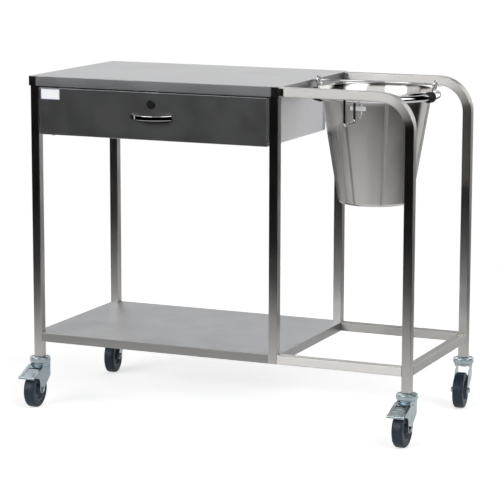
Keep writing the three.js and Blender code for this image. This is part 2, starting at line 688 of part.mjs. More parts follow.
// The origin is on the floor under the middle of the whole object's box.
const bounds = new THREE.Box3().setFromObject(trolley, true);
const centre = bounds.getCenter(new THREE.Vector3());
trolley.position.set(-centre.x, -centre.y, -bounds.min.z);

export default trolley;
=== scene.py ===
"""Ward trolley: a table with a drawer and a lower shelf, and a bucket in a ring beside it.

Most pieces are made here in fine mesh code, in the CAD frame, in metres, and stand for the CAD node
of the same place. The nodes in KEPT_NODES keep their CAD shape, with eased edges. Welds are extra.
Positions come from the CAD nodes' boxes and joints. The other sizes are details that a box doesn't
hold.
"""
import json
import math

import bmesh
import bpy
from mathutils import Matrix, Vector, noise


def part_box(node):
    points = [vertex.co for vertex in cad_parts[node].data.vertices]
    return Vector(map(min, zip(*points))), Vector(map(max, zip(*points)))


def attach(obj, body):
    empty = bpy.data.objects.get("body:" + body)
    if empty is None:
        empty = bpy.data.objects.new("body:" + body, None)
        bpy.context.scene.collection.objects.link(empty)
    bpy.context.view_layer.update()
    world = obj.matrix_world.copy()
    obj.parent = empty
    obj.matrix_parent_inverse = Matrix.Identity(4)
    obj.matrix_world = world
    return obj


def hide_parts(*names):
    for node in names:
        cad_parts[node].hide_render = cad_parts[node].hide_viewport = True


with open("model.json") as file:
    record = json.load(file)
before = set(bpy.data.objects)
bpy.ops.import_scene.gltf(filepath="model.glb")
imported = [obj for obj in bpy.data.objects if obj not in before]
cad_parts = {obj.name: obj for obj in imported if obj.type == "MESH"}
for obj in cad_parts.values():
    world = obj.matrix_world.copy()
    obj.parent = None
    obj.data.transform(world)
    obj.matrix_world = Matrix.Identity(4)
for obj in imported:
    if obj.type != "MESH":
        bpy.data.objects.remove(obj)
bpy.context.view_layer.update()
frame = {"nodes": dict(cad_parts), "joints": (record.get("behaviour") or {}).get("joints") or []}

MM = 0.001
TAU = 2 * math.pi
X, Y, Z = Vector((1, 0, 0)), Vector((0, 1, 0)), Vector((0, 0, 1))
JOINTS = {joint["name"]: joint for joint in frame["joints"]}


def lo(node):
    return Vector(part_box(node)[0])


def hi(node):
    return Vector(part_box(node)[1])


# ------------------------------ driving sizes
TUBE = hi("leg_front_left").x - lo("leg_front_left").x
TUBE_CORNER = 2.5 * MM
BEND_RADIUS = 85 * MM  # centreline of the upper tubes' bend
SHEET = 1.5 * MM
FRONT = lo("leg_front_left").y  # the legs' front faces
BACK = hi("leg_rear_left").y
LEFT = lo("leg_front_left").x
RIGHT = hi("bent_leg_front").x
POST = lo("post_mid_front").x
SHELF_Z = hi("lower_shelf").z

BUCKET = (lo("bucket_ring") + hi("bucket_ring")) / 2  # centre of the ring
RING_ROD = (hi("bucket_ring").z - lo("bucket_ring").z) / 2
RING_RADIUS = hi("bucket_ring").x - BUCKET.x - RING_ROD
PIVOT = Vector(JOINTS["bail_swing"]["pos_m"])  # centre of the bail's hinge line

# ------------------------------ camera
CAMERA_FROM_CORNER = Vector((3.0032, -5.3886, 1.5186))  # from the front left leg's outer corner
TARGET_FROM_CORNER = Vector((0.5536, 0.250, 0.4415))
CAMERA_LENS = 160.59
CAMERA_ROLL = math.radians(0.124)


def add_camera():
    data = bpy.data.cameras.new("camera")
    data.lens = CAMERA_LENS
    data.sensor_width = 36
    data.clip_end = 60
    camera = bpy.data.objects.new("camera", data)
    bpy.context.scene.collection.objects.link(camera)
    corner = Vector((LEFT, FRONT, 0))
    eye = corner + CAMERA_FROM_CORNER
    aim = (corner + TARGET_FROM_CORNER - eye).normalized()
    turn = aim.to_track_quat("-Z", "Y").to_matrix().to_4x4()
    camera.matrix_world = Matrix.Translation(eye) @ turn @ Matrix.Rotation(CAMERA_ROLL, 4, "Z")
    bpy.context.scene.camera = camera


# ------------------------------ node helpers
class Nodes:
    """A short way to write a node tree: make nodes, set their inputs and link them."""

    def __init__(self, tree):
        self.tree = tree
        tree.nodes.clear()

    def add(self, kind, **settings):
        node = self.tree.nodes.new(kind)
        for key, value in settings.items():
            setattr(node, key, value)
        return node

    def join(self, source, target):
        self.tree.links.new(source, target)

    def value(self, socket, value):
        """Links a socket or sets a number or colour."""
        if isinstance(value, bpy.types.NodeSocket):
            self.join(value, socket)
        else:
            socket.default_value = value

    def fill(self, node, inputs):
        """Links or sets inputs of a node by their names."""
        for name, value in inputs.items():
            self.value(node.inputs[name], value)

    def place(self):
        """The object's own coordinates."""
        return self.add("ShaderNodeTexCoord").outputs["Object"]

    def math(self, operation, a, b=0.0):
        node = self.add("ShaderNodeMath", operation=operation)
        self.value(node.inputs[0], a)
        self.value(node.inputs[1], b)
        return node.outputs[0]

    def ramp(self, value, low, high, to_low, to_high):
        """Takes a value from one range to another, smoothly and within its ends."""
        node = self.add("ShaderNodeMapRange", interpolation_type="SMOOTHSTEP")
        ends = {"From Min": low, "From Max": high, "To Min": to_low, "To Max": to_high}
        self.fill(node, {"Value": value, **ends})
        return node.outputs[0]

    def mix(self, factor, a, b):
        node = self.add("ShaderNodeMix", data_type="RGBA")
        self.fill(node, {"Factor": factor, "A": a, "B": b})
        return node.outputs["Result"]

    def noise(self, vector, scale, detail=2.0, roughness=0.5):
        node = self.add("ShaderNodeTexNoise")
        self.fill(node, {"Vector": vector, "Scale": scale, "Detail": detail, "Roughness": roughness})
        return node.outputs["Fac"]

    def stretch(self, vector, scale):
        node = self.add("ShaderNodeMapping")
        self.fill(node, {"Vector": vector, "Scale": scale})
        return node.outputs["Vector"]

    def bump(self, height, strength, distance):
        node = self.add("ShaderNodeBump")
        self.fill(node, {"Strength": strength, "Distance": distance, "Height": height})
        return node.outputs["Normal"]


def new_material(name):
    material = bpy.data.materials.new(name)
    material.use_nodes = True
    nodes = Nodes(material.node_tree)
    shader = nodes.add("ShaderNodeBsdfPrincipled")
    output = nodes.add("ShaderNodeOutputMaterial")
    nodes.join(shader.outputs[0], output.inputs["Surface"])
    return material, nodes, shader


def shade(colour, amount):
    return tuple(channel * amount for channel in colour) + (1.0,)


# ------------------------------ materials
BRUSH_LINES = (5, 260, 1)  # cells of noise per metre, along and across the brush
BRUSH_GRAIN = (20, 1500, 1)
QUARTER_TURN = 0.25  # lays the spread of reflections across the brush lines


def brushed_metal(name, colour, rough, spread, streak=0.06, blotch=0.08):
    """Steel brushed along a piece's U direction: it blurs reflections across the brush lines."""
    material, nodes, shader = new_material(name)
    uv = nodes.add("ShaderNodeUVMap", uv_map="brush").outputs["UV"]
    place = nodes.place()
    lines = nodes.noise(nodes.stretch(uv, BRUSH_LINES), 1.0, 3.0, 0.6)
    fine = nodes.noise(nodes.stretch(uv, BRUSH_GRAIN), 1.0, 2.0, 0.6)
    cloud = nodes.noise(place, 9.0, 3.0, 0.55)
    tone = nodes.math("ADD", nodes.math("MULTIPLY", lines, 0.6), nodes.math("MULTIPLY", fine, 0.4))
    base = nodes.mix(tone, shade(colour, 1 - streak), shade(colour, 1 + streak))
    base = nodes.mix(nodes.ramp(cloud, 0.3, 0.9, 0.0, blotch), base, shade(colour, 0.7))
    tangent = nodes.add("ShaderNodeTangent", direction_type="UV_MAP", uv_map="brush")
    nodes.fill(shader, {
        "Base Color": base,
        "Roughness": nodes.ramp(cloud, 0.3, 0.7, rough * 0.95, rough * 1.12),
        "Metallic": 1.0,
        "Anisotropic": spread,
        "Anisotropic Rotation": QUARTER_TURN,
        "Tangent": tangent.outputs[0],
        "Normal": nodes.bump(tone, 0.02, 0.0002),
    })
    return material


def satin_metal(name, colour, rough, metallic=1.0):
    """Sheet steel with faint mill lines along X and no spread. Less metallic is duller."""
    material, nodes, shader = new_material(name)
    place = nodes.place()
    lines = nodes.noise(nodes.stretch(place, (4, 300, 300)), 1.0, 3.0, 0.6)
    nodes.fill(shader, {
        "Base Color": nodes.mix(lines, shade(colour, 0.9), shade(colour, 1.1)),
        "Roughness": nodes.ramp(lines, 0.3, 0.7, rough * 0.9, rough * 1.1),
        "Metallic": metallic,
        "Normal": nodes.bump(lines, 0.02, 0.0002),
    })
    return material


def polished_metal(name, colour, rough):
    material, nodes, shader = new_material(name)
    place = nodes.place()
    smears = nodes.noise(place, 60.0, 4.0, 0.6)
    nodes.fill(shader, {
        "Base Color": nodes.mix(smears, shade(colour, 0.94), shade(colour, 1.0)),
        "Roughness": nodes.ramp(smears, 0.3, 0.7, rough * 0.7, rough * 1.5),
        "Metallic": 1.0,
        "Normal": nodes.bump(nodes.noise(place, 220.0, 2.0), 0.02, 0.0003),
    })
    return material


def zinc_plate(name):
    """Bright zinc: a bluish metal with faint cloudy spangles and handling marks."""
    material, nodes, shader = new_material(name)
    place = nodes.place()
    spangle = nodes.noise(place, 180.0, 4.0, 0.65)
    cloud = nodes.noise(place, 30.0, 3.0, 0.6)
    base = nodes.mix(spangle, (0.40, 0.48, 0.52, 1), (0.56, 0.64, 0.68, 1))
    nodes.fill(shader, {
        "Base Color": nodes.mix(nodes.ramp(cloud, 0.5, 0.8, 0.0, 0.35), base, (0.16, 0.19, 0.22, 1)),
        "Roughness": nodes.ramp(cloud, 0.3, 0.7, 0.12, 0.22),
        "Metallic": 1.0,
        "Normal": nodes.bump(spangle, 0.05, 0.0003),
    })
    return material


def moulded(name, colour, rough, speckle=0.12, depth=0.15, glow=0.0):
    """Rubber, plastic or paper with a fine grain. glow is painted light: an emission that makes a part
    brighter than its lighting.
    """
    material, nodes, shader = new_material(name)
    place = nodes.place()
    grain = nodes.noise(place, 900.0, 3.0, 0.6)
    cloud = nodes.noise(place, 40.0, 3.0, 0.6)
    base = nodes.mix(grain, shade(colour, 1 - speckle), shade(colour, 1 + speckle))
    dust = shade(colour, 1 + 4 * speckle)
    nodes.fill(shader, {
        "Base Color": nodes.mix(nodes.ramp(cloud, 0.45, 0.8, 0.0, 0.4), base, dust),
        "Roughness": nodes.ramp(cloud, 0.3, 0.7, rough * 0.9, rough * 1.1),
        "Specular IOR Level": 0.3,
        "Emission Color": shade(colour, 1),
        "Emission Strength": glow,
        "Normal": nodes.bump(grain, depth, 0.0002),
    })
    return material


def weld_metal(name):
    """A weld bead: rippled, with straw and blue heat tints."""
    material, nodes, shader = new_material(name)
    place = nodes.place()
    tint = nodes.noise(place, 140.0, 3.0, 0.6)
    ramp = nodes.add("ShaderNodeValToRGB")
    stops = ramp.color_ramp.elements
    stops[0].position, stops[0].color = 0.3, (0.52, 0.50, 0.48, 1)
    stops[1].position, stops[1].color = 0.75, (0.36, 0.38, 0.44, 1)
    middle = stops.new(0.52)
    middle.color = (0.58, 0.50, 0.38, 1)
    nodes.join(tint, ramp.inputs["Fac"])
    nodes.fill(shader, {
        "Base Color": ramp.outputs["Color"],
        "Metallic": 1.0,
        "Roughness": 0.38,
        "Normal": nodes.bump(nodes.noise(place, 700.0, 2.0), 0.4, 0.0005),
    })
    return material


WARM = (0.66, 0.645, 0.625)  # the tint of the tubes
COOL = (0.70, 0.705, 0.715)  # the tint of the table top
TUBE_STEEL = brushed_metal("tube_steel", WARM, 0.335, 1.0, blotch=0.10)
TOP_STEEL = brushed_metal("top_steel", COOL, 0.31, 0.5, streak=0.03)
# The shelf: the table top's steel darkened, painted shade under the table.
SHADED_SHELF_STEEL = brushed_metal("shaded_shelf_steel", (0.47, 0.475, 0.485), 0.40, 0.5, streak=0.03)
# The drawer front: the steel darkened to near black, a painted reflection of the dark room on its face.
SHADED_DRAWER_STEEL = brushed_metal("shaded_drawer_steel", (0.125, 0.127, 0.13), 0.31, 0.6, streak=0.05)
# The table's lips: the top's steel darkened, painted shade on the turned-down sides.
SHADED_LIP_STEEL = brushed_metal("shaded_lip_steel", (0.29, 0.295, 0.305), 0.31, 0.8, streak=0.05, blotch=0.2)
# The shelf's lips: the shelf's steel darkened again, painted shade.
SHADED_SHELF_LIP_STEEL = brushed_metal("shaded_shelf_lip_steel", (0.34, 0.335, 0.33), 0.31, 0.5, streak=0.05)
# The rear rail and the right rail: the tubes' steel darkened, painted shade.
SHADED_REAR_RAIL_STEEL = brushed_metal("shaded_rear_rail_steel", (0.37, 0.36, 0.35), 0.335, 1.0, blotch=0.10)
SHADED_SIDE_RAIL_STEEL = brushed_metal("shaded_side_rail_steel", (0.27, 0.265, 0.26), 0.335, 1.0, blotch=0.10)
PANEL_STEEL = satin_metal("panel_steel", (0.95, 0.955, 0.975), 0.6, 0.7)
# The drawer housing and tray: a darker steel, painted shade inside the housing.
SHADED_INNER_STEEL = satin_metal("shaded_inner_steel", (0.42, 0.42, 0.43), 0.42)
BUCKET_STEEL = brushed_metal("bucket_steel", (0.72, 0.70, 0.675), 0.175, 1.0, streak=0.04, blotch=0.06)
CHROME = polished_metal("chrome", (0.80, 0.80, 0.81), 0.06)
WIRE = polished_metal("wire", (0.80, 0.80, 0.81), 0.12)
ZINC = zinc_plate("zinc")
WELD = weld_metal("weld")
SLEEVE_RUBBER = moulded("sleeve_rubber", (0.012, 0.012, 0.015), 0.55)
TYRE_RUBBER = moulded("tyre_rubber", (0.014, 0.026, 0.041), 0.38, depth=0.2)
HUB_PLASTIC = moulded("hub_plastic", (0.05, 0.066, 0.085), 0.42)
LOCK_BLACK = moulded("lock_black", (0.006, 0.006, 0.007), 0.45, depth=0.05)
# The labels glow: painted light, an emission that makes the white paper brighter than the studio lights it.
LABEL_WHITE = moulded("label_white", (0.93, 0.935, 0.96), 0.35, speckle=0.01, depth=0.02, glow=0.2)
LABEL_EDGE = moulded("label_edge", (0.35, 0.37, 0.62), 0.35, speckle=0.02, depth=0.02)


# ------------------------------ mesh helpers
def new_piece(name, bm, material, body, *nodes, slot, sharp=35):
    """Turns mesh code into a piece that rides on a body and stands for CAD nodes."""
    mesh = bpy.data.meshes.new(name)
    bmesh.ops.recalc_face_normals(bm, faces=bm.faces)
    bm.to_mesh(mesh)
    bm.free()
    mesh.shade_smooth()
    mesh.set_sharp_from_angle(angle=math.radians(sharp))
    mesh.materials.append(material)
    piece = bpy.data.objects.new(name, mesh)
    bpy.context.scene.collection.objects.link(piece)
    level = piece.modifiers.new("flat faces", "WEIGHTED_NORMAL")
    level.keep_sharp = True
    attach(piece, body)
    if nodes:
        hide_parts(*nodes)
    return piece


def brush_layer(bm):
    """The UV layer that the brushed materials read."""
    return bm.loops.layers.uv.get("brush") or bm.loops.layers.uv.new("brush")


def arc(cx, cy, radius, start, end, steps):
    """Points of an arc, in degrees."""
    points = []
    for i in range(steps + 1):
        a = math.radians(start + (end - start) * i / steps)
        points.append((cx + radius * math.cos(a), cy + radius * math.sin(a)))
    return points


def circle(radius, count):
    return arc(0, 0, radius, 0, 360 * (count - 1) / count, count - 1)


def rounded_rect(width, height, radius, steps=5):
    x, y = width / 2 - radius, height / 2 - radius
    corners = ((x, y, 0), (-x, y, 90), (-x, -y, 180), (x, -y, 270))
    points = []
    for cx, cy, start in corners:
        points += arc(cx, cy, radius, start, start + 90, steps)
    return points


def sweep(bm, section, route, plane, closed=False):
    """Skins a closed section along a flat route. plane is the route's normal, and the section's
    first coordinate runs along it. U of the brush map runs along the route."""
    uv = brush_layer(bm)
    count = len(route)
    rings, lengths, run = [], [], 0.0
    for i, point in enumerate(route):
        before = route[(i - 1) % count] if closed or i > 0 else point
        after = route[(i + 1) % count] if closed or i < count - 1 else point
        along = (after - before).normalized()
        out = along.cross(plane)
        inward = (point - before).normalized() if i > 0 or closed else along
        miter = 1 / max(0.5, along.dot(inward))
        rings.append([bm.verts.new(point + plane * a + out * (b * miter)) for a, b in section])
        run += (point - route[i - 1]).length if i else 0.0
        lengths.append(run)
    around = [0.0]
    for j in range(len(section)):
        a, b = section[j], section[(j + 1) % len(section)]
        around.append(around[-1] + math.hypot(a[0] - b[0], a[1] - b[1]))
    steps = count if closed else count - 1
    for i in range(steps):
        k = (i + 1) % count
        u0, u1 = lengths[i], lengths[k] if k else run + (route[0] - route[-1]).length
        for j in range(len(section)):
            m = (j + 1) % len(section)
            face = bm.faces.new((rings[i][j], rings[i][m], rings[k][m], rings[k][j]))
            corners = ((u0, around[j]), (u0, around[j + 1]), (u1, around[j + 1]), (u1, around[j]))
            for loop, corner in zip(face.loops, corners):
                loop[uv].uv = corner
    if not closed:
        for ring in (rings[0], rings[-1]):
            face = bm.faces.new(ring)
            for loop, corner in zip(face.loops, section):
                loop[uv].uv = corner
    return bm


def lathe(bm, profile, place, segments):
    """Turns a profile of (radius, height) points about place's Z. U runs round the axis."""
    uv = brush_layer(bm)
    closed = profile[0][0] > 0 or profile[-1][0] > 0
    rows = []
    for radius, height in profile:
        if radius == 0:
            rows.append([bm.verts.new(place @ Vector((0, 0, height)))] * segments)
            continue
        row = []
        for i in range(segments):
            a = TAU * i / segments
            row.append(bm.verts.new(place @ Vector((radius * math.cos(a), radius * math.sin(a), height))))
        rows.append(row)
    reach = max(radius for radius, _ in profile)
    run = 0.0
    for j in range(len(rows) if closed else len(rows) - 1):
        a, b = rows[j], rows[(j + 1) % len(rows)]
        pa, pb = profile[j], profile[(j + 1) % len(rows)]
        step = math.hypot(pa[0] - pb[0], pa[1] - pb[1])
        for i in range(segments):
            k = (i + 1) % segments
            u0, u1 = reach * TAU * i / segments, reach * TAU * (i + 1) / segments
            corners = [(a[i], u0, run), (a[k], u1, run), (b[k], u1, run + step), (b[i], u0, run + step)]
            if a[i] is a[k]:
                corners.pop(1)
            elif b[i] is b[k]:
                corners.pop(2)
            face = bm.faces.new([corner[0] for corner in corners])
            for loop, corner in zip(face.loops, corners):
                loop[uv].uv = corner[1:]
        run += step
    return bm


def brush(bm, direction):
    """Gives every face brush lines along one direction, or along another where it faces that way."""
    uv = brush_layer(bm)
    for face in bm.faces:
        u = direction - face.normal * direction.dot(face.normal)
        if u.length < 0.3:
            other = Y if abs(direction.y) < 0.5 else X
            u = other - face.normal * other.dot(face.normal)
        u.normalize()
        v = face.normal.cross(u)
        for loop in face.loops:
            loop[uv].uv = (loop.vert.co.dot(u), loop.vert.co.dot(v))


def soften(bm, radius, steps, keep=None):
    """Rounds the sharp edges, or those that keep() picks."""
    edges = [e for e in bm.edges if len(e.link_faces) == 2 and e.calc_face_angle() > 0.5]
    if keep:
        edges = [e for e in edges if keep(e)]
    bmesh.ops.bevel(bm, geom=edges, offset=radius, segments=steps, profile=0.5, affect="EDGES")
    bm.normal_update()


def block(bm, low, high, place=Matrix()):
    """Adds a box between two corners."""
    size, middle = high - low, (low + high) / 2
    matrix = place @ Matrix.Translation(middle) @ Matrix.Diagonal((*size, 1))
    bmesh.ops.create_cube(bm, size=1.0, matrix=matrix)


def plate(bm, outline, depth, place):
    """Extrudes a flat outline in place's X and Y by depth along its Z."""
    low = [bm.verts.new(place @ Vector((x, y, 0))) for x, y in outline]
    high = [bm.verts.new(place @ Vector((x, y, depth))) for x, y in outline]
    bm.faces.new(low)
    bm.faces.new(high)
    for i in range(len(outline)):
        k = (i + 1) % len(outline)
        bm.faces.new((low[i], low[k], high[k], high[i]))
    bmesh.ops.recalc_face_normals(bm, faces=bm.faces)


def side_plate(bm, outline, depth, place, start):
    """A plate drawn in place's Y and Z, from start along its X."""
    plate(bm, outline, depth, place @ Matrix.Translation((start, 0, 0)) @ SIDEWAYS)


def crosswise(place, offset):
    """A place at an offset in another, with its Z along the other's X."""
    return place @ Matrix.Translation(offset) @ Matrix.Rotation(math.pi / 2, 4, "Y")


def mm(points):
    """Flat points drawn in millimetres, in metres."""
    return [(a * MM, b * MM) for a, b in points]


def skin(bm, rings):
    """Joins rings of vertices one after the other."""
    uv = brush_layer(bm)
    for a, b in zip(rings, rings[1:]):
        for j in range(len(a)):
            k = (j + 1) % len(a)
            face = bm.faces.new((a[j], a[k], b[k], b[j]))
            for loop in face.loops:
                loop[uv].uv = (loop.vert.co.x, loop.vert.co.z)


def hexagon(bm, radius, low, high, place):
    """A nut or bolt head about place's Z, with its top corners turned off."""
    profile = [(0, low), (radius, low), (radius, high - 0.7 * MM), (radius * 0.86, high), (0, high)]
    lathe(bm, profile, place, 6)


def basis(x_axis, y_axis, z_axis, origin=Vector()):
    matrix = Matrix((x_axis, y_axis, z_axis)).transposed().to_4x4()
    matrix.translation = origin
    return matrix


SIDEWAYS = basis(Y, Z, X)  # drawn in Y and Z, along X
FORWARD = basis(X, Z, -Y)  # drawn in X and Z, towards the front


# ------------------------------ frame tubes
SQUARE = rounded_rect(TUBE, TUBE, TUBE_CORNER)
TUBE_STEPS = 24
GROUND_LENGTH = 16 * MM  # of an upper tube beside the post, where its weld was ground flush
WELD_RADIUS = 1.8 * MM


def middle_of(node):
    return (lo(node) + hi(node)) / 2


def straight_tube(node, axis, material=TUBE_STEEL):
    """A tube on its node's middle line, along X, Y or Z."""
    middle = middle_of(node)
    half = (hi(node) - lo(node)).dot(axis) / 2
    route = [middle + axis * half * (2 * i / TUBE_STEPS - 1) for i in range(TUBE_STEPS + 1)]
    plane = Y if axis is not Y else X
    bm = sweep(bmesh.new(), SQUARE, route, plane)
    new_piece(f"tube_{node}", bm, material, "frame", node, slot="brushed_frame_steel")


def bent_tube(node):
    """The upper tube: along X, a quarter bend, and down into the right leg."""
    half = TUBE / 2
    y = middle_of(node).y
    top = hi(node).z - half
    right = hi(node).x - half
    turn = right - BEND_RADIUS
    ground = POST + TUBE
    route = [Vector((x, y, top)) for x in (lo(node).x, ground, ground + GROUND_LENGTH)]
    for x, z in arc(turn, top - BEND_RADIUS, BEND_RADIUS, 90, 0, 20):
        route.append(Vector((x, y, z)))
    bottom = lo(node).z
    drop = top - BEND_RADIUS
    steps = range(1, TUBE_STEPS + 1)
    route += [Vector((right, y, drop + (bottom - drop) * i / TUBE_STEPS)) for i in steps]
    bm = sweep(bmesh.new(), SQUARE, route, Y)
    grind_across(bm, lambda face: ground < face.calc_center_median().x < ground + GROUND_LENGTH)
    new_piece(f"tube_{node}", bm, TUBE_STEEL, "frame", node, slot="brushed_frame_steel")


def grind_across(bm, where):
    """Turns the brush lines across a piece where its weld was ground flush."""
    uv = brush_layer(bm)
    for face in bm.faces:
        if where(face):
            for loop in face.loops:
                loop[uv].uv = loop[uv].uv.yx


def weld(name, start, end):
    """A short rippled bead from start to end."""
    along = end - start
    steps = max(6, int(along.length / (0.8 * MM)))
    side = along.orthogonal().normalized()
    bm = bmesh.new()
    section = circle(1.0, 10)
    rings = []
    for i in range(steps + 1):
        t = i / steps
        swell = WELD_RADIUS * (0.25 + 0.75 * math.sin(math.pi * t) ** 0.4)
        swell *= 1 + 0.22 * math.sin(i * 1.9) + 0.25 * noise.noise(Vector((i * 0.4, 0, 0)))
        point = start + along * t
        other = along.normalized().cross(side)
        rings.append([bm.verts.new(point + (side * a + other * b) * swell) for a, b in section])
    skin(bm, rings)
    bm.faces.new(rings[0])
    bm.faces.new(rings[-1])
    new_piece(name, bm, WELD, "frame", slot="brushed_frame_steel", sharp=80)


def build_frame():
    for node in ("leg_front_left", "leg_rear_left", "post_mid_front", "post_mid_rear"):
        straight_tube(node, Z)
    straight_tube("rail_front", X)
    # The rear and right rails are painted darker than the front rail: painted shade.
    straight_tube("rail_rear", X, SHADED_REAR_RAIL_STEEL)
    straight_tube("rail_right", Y, SHADED_SIDE_RAIL_STEEL)
    bent_tube("bent_leg_front")
    bent_tube("bent_leg_rear")
    build_welds()


def build_welds():
    """Beads where the rails and the shelf meet the uprights, and under the upper tubes."""
    inner, leg = POST + TUBE, RIGHT - TUBE
    margin = 3 * MM
    for row, y in (("front", FRONT), ("rear", BACK - TUBE)):
        rail = hi(f"rail_{row}").z
        spots = (("post", inner, rail), ("leg", leg, rail), ("tube", inner, hi(f"bent_leg_{row}").z - TUBE))
        for spot, x, z in spots:
            weld(f"weld_{spot}_{row}", Vector((x, y + margin, z)), Vector((x, y + TUBE - margin, z)))
    rail = hi("rail_right").z
    for row, y in (("front", FRONT + TUBE), ("rear", BACK - TUBE)):
        weld(f"weld_side_{row}", Vector((leg + margin, y, rail)), Vector((RIGHT - margin, y, rail)))
    for node in ("leg_front_left", "leg_rear_left", "post_mid_front", "post_mid_rear"):
        x = lo(node).x if node.startswith("post") else hi(node).x
        start, end = lo(node).y + margin, hi(node).y - margin
        weld(f"weld_shelf_{node}", Vector((x, start, SHELF_Z)), Vector((x, end, SHELF_Z)))


# ------------------------------ sheets
LIP_CORNER = 22 * MM  # ground length of the table's lip at each end
FOLD_RADIUS = 1.3 * MM


def folded_sheet(name, node, material, shaded_lip_material, notch=0.0):
    """A top with lips turned down all round and its corners notched by notch."""
    low, high = lo(node), hi(node)
    n = notch
    if n:
        outline = [(low.x + n, low.y), (high.x - n, low.y), (high.x - n, low.y + n), (high.x, low.y + n),
                   (high.x, high.y - n), (high.x - n, high.y - n), (high.x - n, high.y), (low.x + n, high.y),
                   (low.x + n, high.y - n), (low.x, high.y - n), (low.x, low.y + n), (low.x + n, low.y + n)]
    else:
        outline = [(low.x, low.y), (high.x, low.y), (high.x, high.y), (low.x, high.y)]
    bm = bmesh.new()
    top = [bm.verts.new((x, y, high.z)) for x, y in outline]
    face = bm.faces.new(top)
    bm.normal_update()
    if face.normal.z < 0:
        face.normal_flip()
    for i, vert in enumerate(top):
        after = top[(i + 1) % len(top)]
        if (after.co - vert.co).length < 2 * n:
            continue
        down = [bm.verts.new((v.co.x, v.co.y, low.z)) for v in (vert, after)]
        bm.faces.new((vert, after, down[1], down[0]))
    if not n:
        bmesh.ops.remove_doubles(bm, verts=bm.verts, dist=1e-5)
    bmesh.ops.recalc_face_normals(bm, faces=bm.faces)
    soften(bm, FOLD_RADIUS, 4, lambda e: abs(e.verts[0].co.z - e.verts[1].co.z) < 1e-5)
    if not n:
        soften(bm, 1.0 * MM, 2, lambda e: abs(e.verts[0].co.z - e.verts[1].co.z) > 5 * MM)
    left, right = low.x + LIP_CORNER, high.x - LIP_CORNER
    for x in (left, right):
        geom = bm.faces[:] + bm.edges[:] + bm.verts[:]
        bmesh.ops.bisect_plane(bm, geom=geom, plane_co=Vector((x, 0, 0)), plane_no=X)
    brush(bm, X)
    if not n:
        grind_across(bm, lambda face: abs(face.normal.y) > 0.4
                     and not left < face.calc_center_median().x < right)
    piece = new_piece(name, bm, material, "frame", node, slot="sheet_steel", sharp=40)
    # The sheet's sides, its lips, take the darker steel: painted shade.
    piece.data.materials.append(shaded_lip_material)
    for polygon in piece.data.polygons:
        if abs(polygon.normal.z) < 0.4:
            polygon.material_index = 1
    thicken(piece)


def thicken(piece):
    """Gives a folded skin its thickness, inwards, before its normals are weighted."""
    skin = piece.modifiers.new("thickness", "SOLIDIFY")
    skin.thickness = SHEET
    skin.offset = -1
    piece.modifiers.move(1, 0)


# CAD nodes that keep their shape: their material and the width of their eased edges
KEPT_NODES = {
    "side_panel_left": (PANEL_STEEL, 0.3 * MM),
    "side_panel_right": (PANEL_STEEL, 0.3 * MM),
    "runner_left": (ZINC, 0.3 * MM),
    "runner_right": (ZINC, 0.3 * MM),
    "slide_left": (ZINC, 0.3 * MM),
    "slide_right": (ZINC, 0.3 * MM),
    "drawer_housing": (SHADED_INNER_STEEL, 0.4 * MM),
    "drawer_tray": (SHADED_INNER_STEEL, 0.4 * MM),
    "lock_strike": (ZINC, 0.2 * MM),
    "lock_cam": (ZINC, 0.2 * MM),
    "bucket_label": (LABEL_WHITE, 0.2 * MM),
}


def keep_nodes():
    """Gives the kept CAD nodes their materials and eases their edges."""
    for node, (material, bevel) in KEPT_NODES.items():
        piece = frame["nodes"][node]
        piece.data.materials.clear()
        piece.data.materials.append(material)
        ease = piece.modifiers.new("ease", "BEVEL")
        ease.width = bevel
        ease.segments = 2
        ease.limit_method = "ANGLE"
        ease.angle_limit = math.radians(40)
        ease.harden_normals = True


def build_sheets():
    folded_sheet("table_sheet", "table_top", TOP_STEEL, SHADED_LIP_STEEL)
    folded_sheet("shelf_sheet", "lower_shelf", SHADED_SHELF_STEEL, SHADED_SHELF_LIP_STEEL, notch=TUBE + 0.3 * MM)


# ------------------------------ drawer
def cut_slot(bm, faces, low, high):
    """Cuts a rectangle out of level faces."""
    for corner in (low, high):
        for axis in (X, Y):
            edges = {e for f in faces for e in f.edges}
            verts = {v for f in faces for v in f.verts}
            geom = [*faces, *edges, *verts]
            cut = bmesh.ops.bisect_plane(bm, geom=geom, plane_co=corner, plane_no=axis)
            faces = [g for g in cut["geom"] if isinstance(g, bmesh.types.BMFace)]
    middle = (low + high) / 2
    slot = [f for f in faces if (f.calc_center_median() - middle).length < 0.1 * MM]
    bmesh.ops.delete(bm, geom=slot, context="FACES")


CAM_SLOT = (-7 * MM, 16 * MM)  # from the lock's axis, in the drawer front's upper flange
CAM_CLEARANCE = 0.7 * MM


def build_drawer_front():
    """Pan with its open side to the rear and a slot that the lock's cam turns up through."""
    low, high = lo("drawer_front"), hi("drawer_front")
    bm = bmesh.new()
    block(bm, low, high)
    back = [f for f in bm.faces if f.normal.y > 0.9]
    bmesh.ops.delete(bm, geom=back, context="FACES_ONLY")
    axis_x = JOINTS["lock_turn"]["pos_m"][0]
    slot_low = Vector((axis_x + CAM_SLOT[0], lo("lock_cam").y - CAM_CLEARANCE, high.z))
    slot_high = Vector((axis_x + CAM_SLOT[1], hi("lock_cam").y + CAM_CLEARANCE, high.z))
    cut_slot(bm, [f for f in bm.faces if f.normal.z > 0.9], slot_low, slot_high)
    soften(bm, 1.6 * MM, 4)
    brush(bm, X)
    front = new_piece("drawer_face", bm, SHADED_DRAWER_STEEL, "drawer", "drawer_front", slot="dark_steel", sharp=50)
    # Only the face to the front gets the dark steel, a painted reflection of the dark room. The pan's other
    # faces take the top's steel.
    front.data.materials.append(TOP_STEEL)
    for polygon in front.data.polygons:
        if polygon.normal.y > -0.95:
            polygon.material_index = 1
    thicken(front)


HANDLE_THICK = 5 * MM


